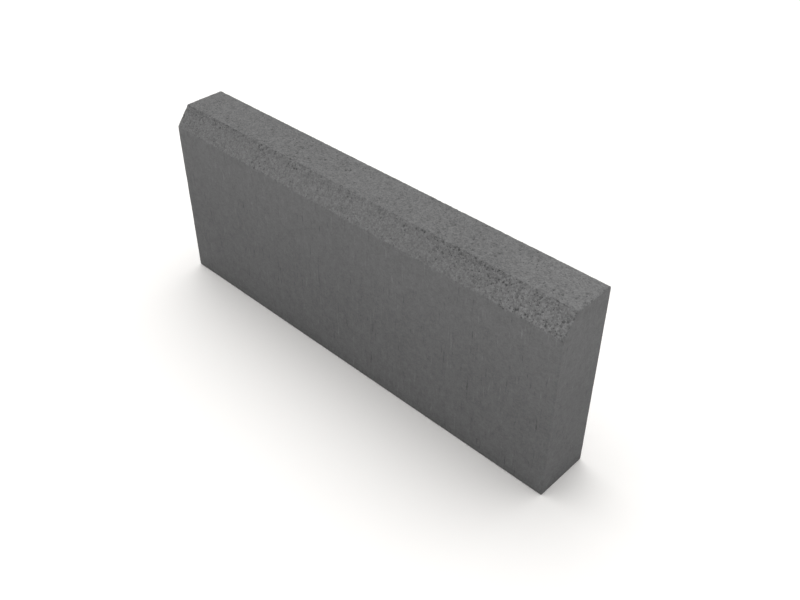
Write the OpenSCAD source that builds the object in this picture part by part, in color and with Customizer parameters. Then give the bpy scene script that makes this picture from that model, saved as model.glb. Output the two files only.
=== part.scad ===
// Concrete kerb stone: one straight pressed block with a long chamfer along the front of its top.
// The stone runs along X and stands on Z = 0. Its chamfered front faces -Y.

/* [Stone] */
// Length of the stone along the kerb line, in mm
stone_length = 500; // [300:10:1000]
// Thickness of the stone from front to back, in mm
stone_thickness = 60; // [40:1:150]
// Height of the stone from its bed to its top, in mm
stone_height = 200; // [120:5:300]

/* [Chamfer] */
// How far the chamfer reaches back across the top, in mm
chamfer_run = 16; // [6:1:30]
// How far the chamfer reaches down the front, in mm
chamfer_drop = 20; // [6:1:60]

/* [Edges] */
// Leg of the narrow flat that breaks every edge, in mm
arris = 1; // [0.5:0.25:2.5]

/* [Hidden] */

front = -stone_thickness / 2;
back = stone_thickness / 2;

// Corners of the section as (Y, Z), counter-clockwise from the foot of the front face
section = [
    [front, 0],
    [back, 0],
    [back, stone_height],
    [front + chamfer_run, stone_height],
    [front, stone_height - chamfer_drop],
];

function unit(v) = v / norm(v);
function before(points, i) = points[(i + len(points) - 1) % len(points)];
function after(points, i) = points[(i + 1) % len(points)];

// The outline with each corner cut back by one leg along both of its sides
function broken_corners(points, leg) = [
    for (i = [0:len(points) - 1])
        for (neighbour = [before(points, i), after(points, i)])
            points[i] + leg * unit(neighbour - points[i])
];

// A square bar beyond the plane that breaks the edge from p to q, at the near or far end of the stone.
// It runs well past the edge both ways, so that the breaks of two sides meet in a mitre.
module edge_break(p, q, end) {
    side = q - p;
    bar_length = norm(side) + 2 * (stone_height + stone_thickness);
    bar_width = 4 * arris;
    translate([each (p + q) / 2, end * stone_length / 2])
        rotate(atan2(side.y, side.x))
            rotate([-45 * end, 0, 0])
                translate([0, arris / sqrt(2) - bar_width / 2, 0])
                    cube([bar_length, bar_width, bar_width], center = true);
}

// The section is drawn flat with its corners broken, extruded, broken at both ends and laid along X
module kerb_stone() {
    color("dimgray")
        rotate([90, 0, 90])
            difference() {
                linear_extrude(stone_length, center = true)
                    polygon(broken_corners(section, arris));
                for (end = [-1, 1], i = [0:len(section) - 1])
                    edge_break(section[i], after(section, i), end);
            }
}

kerb_stone();
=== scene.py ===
"""A concrete kerb stone on a white floor.

Its top and chamfer are rough from tamping, and its sides and ends are smooth from the mould.
"""

import math

import bpy
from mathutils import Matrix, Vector


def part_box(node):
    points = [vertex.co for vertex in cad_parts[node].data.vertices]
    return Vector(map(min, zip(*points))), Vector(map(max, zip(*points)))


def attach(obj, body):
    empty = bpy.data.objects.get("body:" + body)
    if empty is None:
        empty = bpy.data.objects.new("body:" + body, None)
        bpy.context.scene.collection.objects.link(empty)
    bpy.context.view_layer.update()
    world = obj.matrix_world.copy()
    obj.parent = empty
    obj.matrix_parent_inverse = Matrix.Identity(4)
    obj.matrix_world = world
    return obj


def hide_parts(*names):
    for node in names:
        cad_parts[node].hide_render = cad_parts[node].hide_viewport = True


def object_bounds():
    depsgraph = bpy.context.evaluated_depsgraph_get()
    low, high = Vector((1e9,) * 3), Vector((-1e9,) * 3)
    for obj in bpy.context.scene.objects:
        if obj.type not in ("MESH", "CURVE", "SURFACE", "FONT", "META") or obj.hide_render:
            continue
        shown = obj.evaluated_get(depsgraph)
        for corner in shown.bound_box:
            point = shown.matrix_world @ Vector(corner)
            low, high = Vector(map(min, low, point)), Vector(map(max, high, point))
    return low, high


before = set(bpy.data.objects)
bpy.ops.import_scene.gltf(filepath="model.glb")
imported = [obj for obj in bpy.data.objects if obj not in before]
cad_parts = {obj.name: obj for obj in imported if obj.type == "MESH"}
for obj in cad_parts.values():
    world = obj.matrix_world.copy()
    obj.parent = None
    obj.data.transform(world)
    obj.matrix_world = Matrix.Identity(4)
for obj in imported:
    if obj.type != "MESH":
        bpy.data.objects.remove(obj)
cad_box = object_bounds()

MM = 0.001
NODE = "kerb_stone"

# Sizes that shape the stone, in mm. Its length, thickness and height come from the frame.
# The tamped faces, and a skirt around them, are cut up finely. The rest is smooth and is cut coarsely.
STONE_SIZES = {
    "Chamfer Run": 16,
    "Chamfer Drop": 20,
    "Arris Radius": 1,
    "Skirt": 5,
    "Fine Pitch": 0.88,
    "Side Pitch": 9,
    "End Pitch": 5,
    "Weld": 0.005,
    "Grain Size": 2.6,
    "Grain Depth": 0.4,
    "Lump Size": 12,
    "Lump Depth": 0.15,
    "Pit Cell": 3.2,
    "Pit Depth": 0.8,
    "Cluster Size": 42,
    "Rough End": 95,
    "Sway Size": 90,
    "Sway Depth": 0.12,
    "Chip Size": 7,
    "Chip Depth": 0.5,
    "Spill": 2.5,
}
ARRIS_STEPS = 3
SEED = 1

# How open the tamped concrete is, from 0 to 1: between the clusters of pits and how much more in them,
# how much of that is left at the foot of the chamfer, and how near to a cluster the rough end comes
TOP_OPEN = 0.08
TOP_CLUSTER = 0.15
CHAMFER_OPEN = 0.2
CHAMFER_CLUSTER = 0.6
FOOT_SHARE = 0.4
ROUGH_END_SHARE = 0.5

# How much of the grain is left where the concrete is closed
CLOSED_GRAIN = 0.3

# Radii of pits, in cells, and how far out a pit's floor is flat, in radii
PIT_RADII = (0.2, 0.45)
PIT_FLAT = 0.5

# Noise and random numbers run from 0 to 1 about this middle
NOISE_MIDDLE = 0.5

# Where a smooth rise starts and ends: of noise
CLUSTER_RISE = (0.45, 0.65)
CHIP_RISE = (0.5, 0.75)
DASH_RISE = (0.64, 0.76)

# Of the distance from the middle of a grain, in grains
GRAIN_RISE = (0.25, 0.75)

# Of how far the surface faces up, and of how far it turns from each of the stone's own faces
FACING_RISE = (0.7, 0.95)
BED_RISE = (-0.9, -0.5)
EDGE_RISE = (0.02, 0.2)

# Tone of the concrete, and the share by which it is paler, or below 0 darker, where it is so marked
CONCRETE_TONE = 0.154
TONE_SHIFTS = {
    # painted light: the stone is painted paler towards its top
    "painted_upper_light": 0.15,
    "tamped": 0.057,
    "rough_end": 0.07,
    # painted shade: faces that look up are painted darker
    "top": -0.177,
    "crease": -0.06,
    "worn": 0.06,
    # dirt and painted shade: pits and pinholes are painted darker
    "pit_dirt_and_shade": -0.45,
}
CONCRETE_SPECULAR = 0.05

# How far down from its top the stone is painted paler, as painted light that falls more on its upper part
PAINTED_LIGHT_REACH = 130 * MM

# Finish of the moulded faces, and of the tamped ones where they are closed and where they are open:
# the roughness, the contrast of each kind of speck, and the share of the grain's relief
MOULDED = {"Roughness": 0.8, "Mottle": 0.26, "Grit": 0.08, "Sand": 0.16, "Dashes": 0.26, "Grain": 0.1}
CLOSED = {"Roughness": 0.9, "Mottle": 0.2, "Grit": 0.14, "Sand": 0.36, "Dashes": 0.0, "Grain": 0.35}
OPEN = {"Roughness": 1.0, "Mottle": 0.25, "Grit": 0.4, "Sand": 0.5, "Dashes": 0.0, "Grain": 1.2}

# Soft clouds over the whole stone, and the sizes of the specks
CLOUD_CONTRAST = 0.12
CLOUD_SIZE = 60 * MM
MOTTLE_SIZE = 7 * MM
GRIT_SIZE = 2.3 * MM
SAND_SIZE = 1.2 * MM
DASH_WIDTH = 1.7 * MM
DASH_LENGTH = 20 * MM

# Pinholes, their radii in cells, and the share of cells that have one where the concrete is fully open
PINHOLE_CELL = 1.9 * MM
PINHOLE_RADII = (0.25, 0.45)
PINHOLE_SHARE = 0.8

# Depth of the grain and pinholes that are only bump
GRAIN_DEPTH = 0.25 * MM

# The backdrop, and the light that the floor throws back on the stone
WHITE = (1, 1, 1, 1)

# Light, as shares of a level at which a flat colour renders as it is written. Each lamp has its share,
# how wide it looks from the stone, and its azimuth and height, in degrees.
DOME_LEVEL = 0.222
LAMPS = {
    "back_lamp": (0.69, 82, -172, 71),
    "side_lamp": (0.376, 87, -83, 49),
}

# The floor, in metres, and the faintly warm colour in which it is seen
FLOOR_SIDE = 30
FLOOR_COLOUR = (1, 0.985, 0.967, 1)

# The camera: where it looks from and at, and its lens on a sensor of Blender's usual width
VIEW_AZIMUTH = 43.986
VIEW_HEIGHT = 38.377
VIEW_DISTANCE = 868.75 * MM
VIEW_AIM = Vector((54.851, -7.241, 100.011)) * MM
VIEW_LENS = 41.373
SENSOR_WIDTH = 36

# Kinds of socket
NUMBER = "NodeSocketFloat"
VECTOR = "NodeSocketVector"


class Field:
    """A node's output that can stand in a sum, as a number can."""

    def __init__(self, graph, socket):
        self.graph = graph
        self.socket = socket

    def __add__(self, other):
        return self.graph.math("ADD", self, other)

    def __sub__(self, other):
        return self.graph.math("SUBTRACT", self, other)

    def __rsub__(self, other):
        return self.graph.math("SUBTRACT", other, self)

    def __mul__(self, other):
        return self.graph.math("MULTIPLY", self, other)

    def __truediv__(self, other):
        return self.graph.math("DIVIDE", self, other)

    def __rtruediv__(self, other):
        return self.graph.math("DIVIDE", other, self)

    def __neg__(self):
        return self.graph.math("MULTIPLY", self, -1.0)

    __radd__ = __add__
    __rmul__ = __mul__


class Graph:
    """Adds nodes to one tree and joins them."""

    def __init__(self, tree):
        self.tree = tree

    def add(self, kind, feeds=None, **settings):
        """Adds a node. feeds gives what goes into its inputs, by their name or number."""
        node = self.tree.nodes.new(kind)
        for name, value in settings.items():
            setattr(node, name, value)
        for name, value in (feeds or {}).items():
            self.feed(node.inputs[name], value)
        return node

    def feed(self, socket, value):
        """Joins a field to an input, or sets the input to a plain value."""
        if isinstance(value, Field):
            self.tree.links.new(value.socket, socket)
        else:
            socket.default_value = value

    def field(self, kind, feeds=None, output=0, **settings):
        """Adds a node and gives one of its outputs."""
        return Field(self, self.add(kind, feeds, **settings).outputs[output])

    def group(self, tree, feeds):
        """Adds a group of shader nodes and gives its outputs by their names."""
        node = self.add("ShaderNodeGroup", feeds, node_tree=tree)
        return {output.name: Field(self, output) for output in node.outputs}

    def math(self, operation, *values):
        return self.field("ShaderNodeMath", dict(enumerate(values)), operation=operation)

    def whole(self, operation, *values):
        return self.field("FunctionNodeIntegerMath", dict(enumerate(values)), operation=operation)

    def vector(self, operation, *values, output="Vector"):
        return self.field("ShaderNodeVectorMath", dict(enumerate(values)), output, operation=operation)

    def scaled(self, vector, factor):
        feeds = {"Vector": vector, "Scale": factor}
        return self.field("ShaderNodeVectorMath", feeds, operation="SCALE")

    def join(self, x, y, z):
        return self.field("ShaderNodeCombineXYZ", {"X": x, "Y": y, "Z": z})

    def split(self, vector):
        node = self.add("ShaderNodeSeparateXYZ", {"Vector": vector})
        return [Field(self, output) for output in node.outputs]

    def size_of(self, value):
        return self.math("ABSOLUTE", value)

    def most(self, first, *others):
        """The greatest of some values."""
        for other in others:
            first = self.math("MAXIMUM", first, other)
        return first

    def rise(self, value, low, high):
        """0 below low, 1 above high, and a smooth rise between."""
        feeds = {"Value": value, "From Min": low, "From Max": high}
        return self.field("ShaderNodeMapRange", feeds, interpolation_type="SMOOTHSTEP")

    def blend(self, share, first, second):
        """The first value where the share is 0, and the second where it is 1."""
        return self.field("ShaderNodeMix", {"Factor": share, "A": first, "B": second})

    def noise(self, place, size):
        """Cloudy noise between 0 and 1, with patches of about that size."""
        return self.field("ShaderNodeTexNoise", {"Vector": place, "Scale": 1 / size})

    def cells(self, place, size):
        """Distance from the middle of the nearest cell, in cells, and two random numbers for it."""
        node = self.add("ShaderNodeTexVoronoi", {"Vector": place, "Scale": 1 / size})
        chance, spread, _ = self.split(Field(self, node.outputs["Color"]))
        return Field(self, node.outputs["Distance"]), chance, spread

    def hollows(self, place, cell, share, radii):
        """Round hollows, 1 on their floor and 0 outside. That share of the cells holds one."""
        distance, chance, spread = self.cells(place, cell)
        radius = self.blend(spread, *radii)
        return (1 - self.rise(distance / radius, PIT_FLAT, 1.0)) * self.math("LESS_THAN", chance, share)


def new_tree(name, kind, inputs, outputs):
    """A node tree with those sockets: its graph, its inputs as fields, and its output node."""
    tree = bpy.data.node_groups.new(name, kind)
    for label, socket_type in inputs.items():
        tree.interface.new_socket(label, in_out="INPUT", socket_type=socket_type)
    for label, socket_type in outputs.items():
        tree.interface.new_socket(label, in_out="OUTPUT", socket_type=socket_type)
    graph = Graph(tree)
    source = graph.add("NodeGroupInput")
    fields = {label: Field(graph, source.outputs[label]) for label in inputs}
    return graph, fields, graph.add("NodeGroupOutput")


def point_count(graph, path):
    return graph.field("GeometryNodeAttributeDomainSize", {"Geometry": path}, component="CURVE")


def point_on(graph, path, index):
    """The three coordinates of a path's point."""
    feeds = {"Geometry": path, "Value": graph.field("GeometryNodeInputPosition"), "Index": index}
    return graph.split(graph.field("GeometryNodeSampleIndex", feeds, data_type="FLOAT_VECTOR"))


def rounded_path(graph, corners, closed, radius, pitch):
    """A path through the corners with round bends.

    Its straights are cut up. pitch takes the middle of a straight and gives the length of its pieces.
    """
    index = graph.field("GeometryNodeInputIndex")
    corner = graph.add("GeometryNodeIndexSwitch", data_type="VECTOR")
    for _ in corners[len(corner.index_switch_items):]:
        corner.index_switch_items.new()
    for number, value in enumerate([index, *corners]):
        graph.feed(corner.inputs[number], value)
    feeds = {"Count": len(corners), "Position": Field(graph, corner.outputs[0])}
    path = graph.field("GeometryNodePointsToCurves", {"Points": graph.field("GeometryNodePoints", feeds)})
    path = graph.field("GeometryNodeSetSplineCyclic", {"Geometry": path, "Cyclic": closed})
    bends = {"Curve": path, "Count": ARRIS_STEPS, "Radius": radius}
    path = graph.field("GeometryNodeFilletCurve", bends, mode="POLY")

    here = graph.field("GeometryNodeInputPosition")
    after = graph.whole("MODULO", graph.whole("ADD", index, 1), point_count(graph, path))
    feeds = {"Value": here, "Index": after}
    there = graph.field("GeometryNodeFieldAtIndex", feeds, data_type="FLOAT_VECTOR")
    middle = graph.scaled(graph.vector("ADD", here, there), 1 / 2)
    pieces = graph.vector("DISTANCE", here, there, output="Value") / pitch(middle)
    cuts = graph.field("FunctionNodeFloatToInt", {"Float": pieces - 1}, rounding_mode="ROUND")
    feeds = {"Curve": path, "Cuts": graph.whole("MAXIMUM", cuts, 0)}
    return graph.field("GeometryNodeSubdivideCurve", feeds)


def stone_section(graph, size):
    """The stone's section, up its front from the foot and round by its top."""
    back = size["Thickness"] / 2
    front = -back
    top = size["Height"]
    foot = top - size["Chamfer Drop"]
    fine_from = foot - size["Skirt"]
    corners = [
        graph.join(0, front, 0),
        graph.join(0, front, fine_from),
        graph.join(0, front, foot),
        graph.join(0, front + size["Chamfer Run"], top),
        graph.join(0, back, top),
        graph.join(0, back, top - size["Skirt"]),
        graph.join(0, back, 0),
    ]

    def pitch(place):
        _, _, z = graph.split(place)
        fine = graph.math("GREATER_THAN", z, fine_from)
        return graph.blend(fine, size["Side Pitch"], size["Fine Pitch"])

    return rounded_path(graph, corners, True, size["Arris Radius"], pitch)


def stone_run(graph, size):
    """A path along the stone and in over both its ends.

    X is the place along the stone, and Y is how far the section is drawn in there.
    """
    end = size["Length"] / 2
    half = size["Thickness"] / 2
    skirt = size["Skirt"]
    corners = [
        graph.join(-end, half, 0),
        graph.join(-end, skirt, 0),
        graph.join(-end, 0, 0),
        graph.join(end, 0, 0),
        graph.join(end, skirt, 0),
        graph.join(end, half, 0),
    ]

    def pitch(place):
        _, drawn_in, _ = graph.split(place)
        coarse = graph.math("GREATER_THAN", drawn_in, skirt)
        return graph.blend(coarse, size["Fine Pitch"], size["End Pitch"])

    return rounded_path(graph, corners, False, size["Arris Radius"], pitch)


def stone_shell(graph, size):
    """The plain stone: its section swept along its length, and drawn in over both ends to a point."""
    section = stone_section(graph, size)
    run = stone_run(graph, size)
    around = point_count(graph, section)
    rows = graph.whole("ADD", around, 1)
    feeds = {"Vertices X": point_count(graph, run), "Vertices Y": rows}
    grid = graph.field("GeometryNodeMeshGrid", feeds)
    index = graph.field("GeometryNodeInputIndex")
    x, inset, _ = point_on(graph, run, graph.whole("DIVIDE_FLOOR", index, rows))
    row = graph.whole("MODULO", graph.whole("MODULO", index, rows), around)
    _, y, z = point_on(graph, section, row)

    # The section draws in evenly at first, as the arris needs, and ends in one point
    middle = size["Height"] / 2
    share = inset / (size["Thickness"] / 2)
    even = size["Thickness"] / size["Height"]
    squeeze = share * (even + (1 - even) * share * share)
    place = graph.join(x, y * (1 - share), middle + (z - middle) * (1 - squeeze))
    shell = graph.field("GeometryNodeSetPosition", {"Geometry": grid, "Position": place})
    return graph.field("GeometryNodeMergeByDistance", {"Geometry": shell, "Distance": size["Weld"]})


def stone_relief(graph, size):
    """How far each point lies behind the plain stone, and the marks that the material reads."""
    place = graph.field("GeometryNodeInputPosition")
    x, y, z = graph.split(place)
    place = graph.vector("ADD", place, size["Seed"])
    nx, ny, nz = graph.split(graph.field("GeometryNodeInputNormal"))
    top = graph.rise(nz, *FACING_RISE)

    # Height above the tamped faces, which is 0 on them and less on the moulded ones
    run, drop = size["Chamfer Run"], size["Chamfer Drop"]
    slope = graph.math("SQRT", run * run + drop * drop)
    chamfer_y, chamfer_z = -drop / slope, run / slope
    above_top = z - size["Height"]
    above_chamfer = chamfer_y * (y + size["Thickness"] / 2) + chamfer_z * (above_top + drop)
    chip_noise = graph.noise(place, size["Chip Size"])
    tamped = graph.rise(graph.most(above_top, above_chamfer), -size["Spill"] * chip_noise, 0.0)

    # Clusters of pits open the concrete below the crease, and down to the foot at the right end
    rough_from = size["Length"] / 2 - size["Rough End"]
    rough_end = graph.rise(x, rough_from, rough_from + size["Rough End"] / 2)
    cluster = graph.rise(graph.noise(place, size["Cluster Size"]), *CLUSTER_RISE)
    cluster = graph.most(cluster, ROUGH_END_SHARE * rough_end)
    below_crease = graph.rise(-above_top, 0.0, drop / 2)
    left_below = graph.blend(below_crease, 1.0, graph.blend(rough_end, FOOT_SHARE, 1.0))
    chamfer_open = (CHAMFER_OPEN + CHAMFER_CLUSTER * cluster) * left_below
    openness = graph.blend(top, chamfer_open, TOP_OPEN + TOP_CLUSTER * cluster) * tamped
    pits = graph.hollows(place, size["Pit Cell"], openness, PIT_RADII)

    from_grain, _, _ = graph.cells(place, size["Grain Size"])
    gaps = graph.rise(from_grain, *GRAIN_RISE) * (openness + CLOSED_GRAIN)
    lumps = 1 - graph.noise(place, size["Lump Size"])
    rough = size["Grain Depth"] * gaps + size["Lump Depth"] * lumps
    smooth = size["Sway Depth"] * (1 - graph.noise(place, size["Sway Size"]))

    # Edges are where the surface faces none of the stone's own directions
    to_chamfer = ny * chamfer_y + nz * chamfer_z
    facing = graph.most(to_chamfer, graph.size_of(nx), graph.size_of(ny), graph.size_of(nz))
    edge = graph.rise(1 - facing, *EDGE_RISE)
    chips = edge * graph.rise(chip_noise, *CHIP_RISE)

    depth = graph.blend(tamped, smooth, rough) + size["Pit Depth"] * pits + size["Chip Depth"] * chips
    marks = {
        "tamped": tamped,
        "rough_end": tamped * rough_end,
        "openness": openness,
        "top": top,
        "crease": tamped * (1 - top) * (1 - below_crease),
        "worn": edge,
        # The material paints the pits darker, as dirt in them and as painted shade
        "pit_dirt_and_shade": pits,
    }
    # The bed, which faces down, stays flat
    return depth * graph.rise(nz, *BED_RISE), marks


def stone_tree(inputs):
    """The whole stone as a tree of geometry nodes."""
    outputs = {"Geometry": "NodeSocketGeometry"}
    graph, size, result = new_tree("Kerb Stone", "GeometryNodeTree", inputs, outputs)
    stone = stone_shell(graph, size)
    depth, marks = stone_relief(graph, size)
    for name, value in marks.items():
        feeds = {"Geometry": stone, "Name": name, "Value": value}
        stone = graph.field("GeometryNodeStoreNamedAttribute", feeds)
    offset = graph.scaled(graph.field("GeometryNodeInputNormal"), -depth)
    stone = graph.field("GeometryNodeSetPosition", {"Geometry": stone, "Offset": offset})
    stone = graph.field("GeometryNodeSetShadeSmooth", {"Geometry": stone})
    stone = graph.field("GeometryNodeRealizeInstances", {"Geometry": stone})
    stone = graph.field("GeometryNodeSetMaterial", {"Geometry": stone, "Material": size["Material"]})
    graph.feed(result.inputs["Geometry"], stone)
    return graph.tree


def make_stone(material):
    """The stone as a plain mesh, in the place of its solid."""
    low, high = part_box(NODE)
    box = high - low
    values = {"Length": box.x, "Thickness": box.y, "Height": box.z}
    values |= {name: value * MM for name, value in STONE_SIZES.items()}
    values |= {"Seed": float(SEED), "Material": material}
    tree = stone_tree(dict.fromkeys(values, NUMBER) | {"Material": "NodeSocketMaterial"})
    stone = bpy.data.objects.new("concrete_kerb", bpy.data.meshes.new("stone_start"))
    bpy.context.scene.collection.objects.link(stone)
    modifier = stone.modifiers.new("Kerb Stone", "NODES")
    modifier.node_group = tree
    for item in tree.interface.items_tree:
        if item.in_out == "INPUT":
            modifier[item.identifier] = values[item.name]
    state = bpy.context.evaluated_depsgraph_get()
    shape = stone.evaluated_get(state)
    mesh = bpy.data.meshes.new_from_object(shape, preserve_all_data_layers=True, depsgraph=state)
    stone.modifiers.remove(modifier)
    mesh.name = "concrete_kerb"
    stone.data = mesh
    return stone


def clouding():
    """A group of soft patches of tone, about 0 on average."""
    inputs = {"Place": VECTOR, "Patch Size": NUMBER}
    graph, given, result = new_tree("Clouding", "ShaderNodeTree", inputs, {"Tone": NUMBER})
    graph.feed(result.inputs["Tone"], graph.noise(given["Place"], given["Patch Size"]) - NOISE_MIDDLE)
    return graph.tree


def grit():
    """A group of packed grains, each with a tone of its own, about 0 on average, and a domed height."""
    inputs = {"Place": VECTOR, "Grain Size": NUMBER}
    outputs = {"Tone": NUMBER, "Height": NUMBER}
    graph, given, result = new_tree("Grit", "ShaderNodeTree", inputs, outputs)
    distance, chance, _ = graph.cells(given["Place"], given["Grain Size"])
    graph.feed(result.inputs["Tone"], chance - NOISE_MIDDLE)
    graph.feed(result.inputs["Height"], 1 - distance)
    return graph.tree


def drag_dashes():
    """A group of scattered pale and dark upright dashes, as a mould leaves when it is drawn off."""
    inputs = {"Place": VECTOR, "Width": NUMBER, "Length": NUMBER}
    graph, given, result = new_tree("Drag Dashes", "ShaderNodeTree", inputs, {"Tone": NUMBER})
    x, y, z = graph.split(given["Place"])
    place = graph.join(x, y, z * given["Width"] / given["Length"])
    swing = graph.noise(place, given["Width"])
    dashes = graph.rise(swing, *DASH_RISE) - graph.rise(1 - swing, *DASH_RISE)
    graph.feed(result.inputs["Tone"], dashes)
    return graph.tree


def concrete():
    """Fine concrete: gritty and pitted where it was tamped, dashed where the mould drew off it."""
    material = bpy.data.materials.new("concrete")
    material.use_nodes = True
    graph = Graph(material.node_tree)
    place = graph.field("ShaderNodeTexCoord", output="Object")

    def mark(name):
        return graph.field("ShaderNodeAttribute", output="Fac", attribute_name=name)

    openness = mark("openness")
    pinholes = graph.hollows(place, PINHOLE_CELL, PINHOLE_SHARE * openness, PINHOLE_RADII)
    marks = {name: mark(name) for name in ("tamped", "rough_end", "top", "crease", "worn", "pit_dirt_and_shade")}
    # Pinholes join the pits, which are painted darker as dirt and as painted shade
    marks["pit_dirt_and_shade"] = graph.most(marks["pit_dirt_and_shade"], pinholes)
    # Painted light: the upper part of the stone is painted paler, where more light falls on it
    _, _, z = graph.split(place)
    height = cad_box[1].z
    marks["painted_upper_light"] = graph.rise(z, height - PAINTED_LIGHT_REACH, height)

    finish = {}
    for name in MOULDED:
        rough = graph.blend(openness, CLOSED[name], OPEN[name])
        finish[name] = graph.blend(marks["tamped"], MOULDED[name], rough)

    clouds, grains = clouding(), grit()
    cloud = graph.group(clouds, {"Place": place, "Patch Size": CLOUD_SIZE})
    mottle = graph.group(clouds, {"Place": place, "Patch Size": MOTTLE_SIZE})
    gravel = graph.group(grains, {"Place": place, "Grain Size": GRIT_SIZE})
    sand = graph.group(grains, {"Place": place, "Grain Size": SAND_SIZE})
    dashes = graph.group(drag_dashes(), {"Place": place, "Width": DASH_WIDTH, "Length": DASH_LENGTH})
    tone = 1 + CLOUD_CONTRAST * cloud["Tone"] + finish["Mottle"] * mottle["Tone"]
    tone = tone + finish["Grit"] * gravel["Tone"] + finish["Sand"] * sand["Tone"]
    tone = tone + finish["Dashes"] * dashes["Tone"]
    for name, shift in TONE_SHIFTS.items():
        tone = tone * (1 + shift * marks[name])

    relief = finish["Grain"] * (gravel["Height"] + sand["Height"]) - pinholes
    bump = graph.field("ShaderNodeBump", {"Height": relief, "Distance": GRAIN_DEPTH})
    shader = material.node_tree.nodes["Principled BSDF"]
    shader.inputs["Specular IOR Level"].default_value = CONCRETE_SPECULAR
    graph.feed(shader.inputs["Base Color"], CONCRETE_TONE * tone)
    graph.feed(shader.inputs["Roughness"], finish["Roughness"])
    graph.feed(shader.inputs["Normal"], bump)
    return material


def make_floor():
    """A wide white floor that shows the stone's shadow."""
    material = bpy.data.materials.new("studio_floor")
    material.use_nodes = True
    material.node_tree.nodes.clear()
    graph = Graph(material.node_tree)
    seen = graph.field("ShaderNodeLightPath", output="Is Camera Ray")
    colours = {"Factor": seen, "A": WHITE, "B": FLOOR_COLOUR}
    mix = graph.add("ShaderNodeMix", data_type="RGBA")
    for socket in mix.inputs:
        if socket.enabled:
            graph.feed(socket, colours[socket.name])
    colour = next(output for output in mix.outputs if output.enabled)
    paint = graph.field("ShaderNodeBsdfDiffuse", {"Color": Field(graph, colour)})
    graph.add("ShaderNodeOutputMaterial", {"Surface": paint})
    half = FLOOR_SIDE / 2
    corners = [(-half, -half, 0), (half, -half, 0), (half, half, 0), (-half, half, 0)]
    mesh = bpy.data.meshes.new("studio_floor")
    mesh.from_pydata(corners, [], [range(len(corners))])
    mesh.materials.append(material)
    floor = bpy.data.objects.new("studio_floor", mesh)
    bpy.context.scene.collection.objects.link(floor)


def towards(azimuth, height):
    """The direction to something at that azimuth and height, in degrees. Azimuth 0 is in front."""
    azimuth, height = math.radians(azimuth), math.radians(height)
    level = math.cos(height)
    return Vector((math.sin(azimuth) * level, -math.cos(azimuth) * level, math.sin(height)))


def make_light():
    """A dome that is seen as white but lights less, and two very soft lamps, behind and to the left."""
    world = bpy.data.worlds.new("studio")
    world.use_nodes = True
    graph = Graph(world.node_tree)
    rays = graph.add("ShaderNodeLightPath").outputs
    kinds = ("Is Camera Ray", "Is Glossy Ray", "Is Transmission Ray")
    seen = graph.most(*(Field(graph, rays[kind]) for kind in kinds))
    backdrop = world.node_tree.nodes["Background"]
    backdrop.inputs["Color"].default_value = WHITE
    graph.feed(backdrop.inputs["Strength"], graph.blend(seen, DOME_LEVEL, 1.0))
    bpy.context.scene.world = world
    for name, (level, spread, azimuth, height) in LAMPS.items():
        lamp = bpy.data.lights.new(name, "SUN")
        lamp.energy = level * math.pi
        lamp.angle = math.radians(spread)
        holder = bpy.data.objects.new(name, lamp)
        holder.rotation_euler = towards(azimuth, height).to_track_quat("Z", "Y").to_euler()
        bpy.context.scene.collection.objects.link(holder)


def make_camera():
    """The camera at the photograph's viewing angle."""
    lens = bpy.data.cameras.new("camera")
    lens.lens = VIEW_LENS
    lens.sensor_width = SENSOR_WIDTH
    camera = bpy.data.objects.new("camera", lens)
    back = towards(VIEW_AZIMUTH, VIEW_HEIGHT)
    camera.location = VIEW_AIM + back * VIEW_DISTANCE
    camera.rotation_euler = back.to_track_quat("Z", "Y").to_euler()
    bpy.context.scene.collection.objects.link(camera)
    bpy.context.scene.camera = camera


make_camera()
make_light()
make_floor()
stone = make_stone(concrete())
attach(stone, "root")
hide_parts(NODE)
bpy.context.scene.view_settings.view_transform = "Standard"
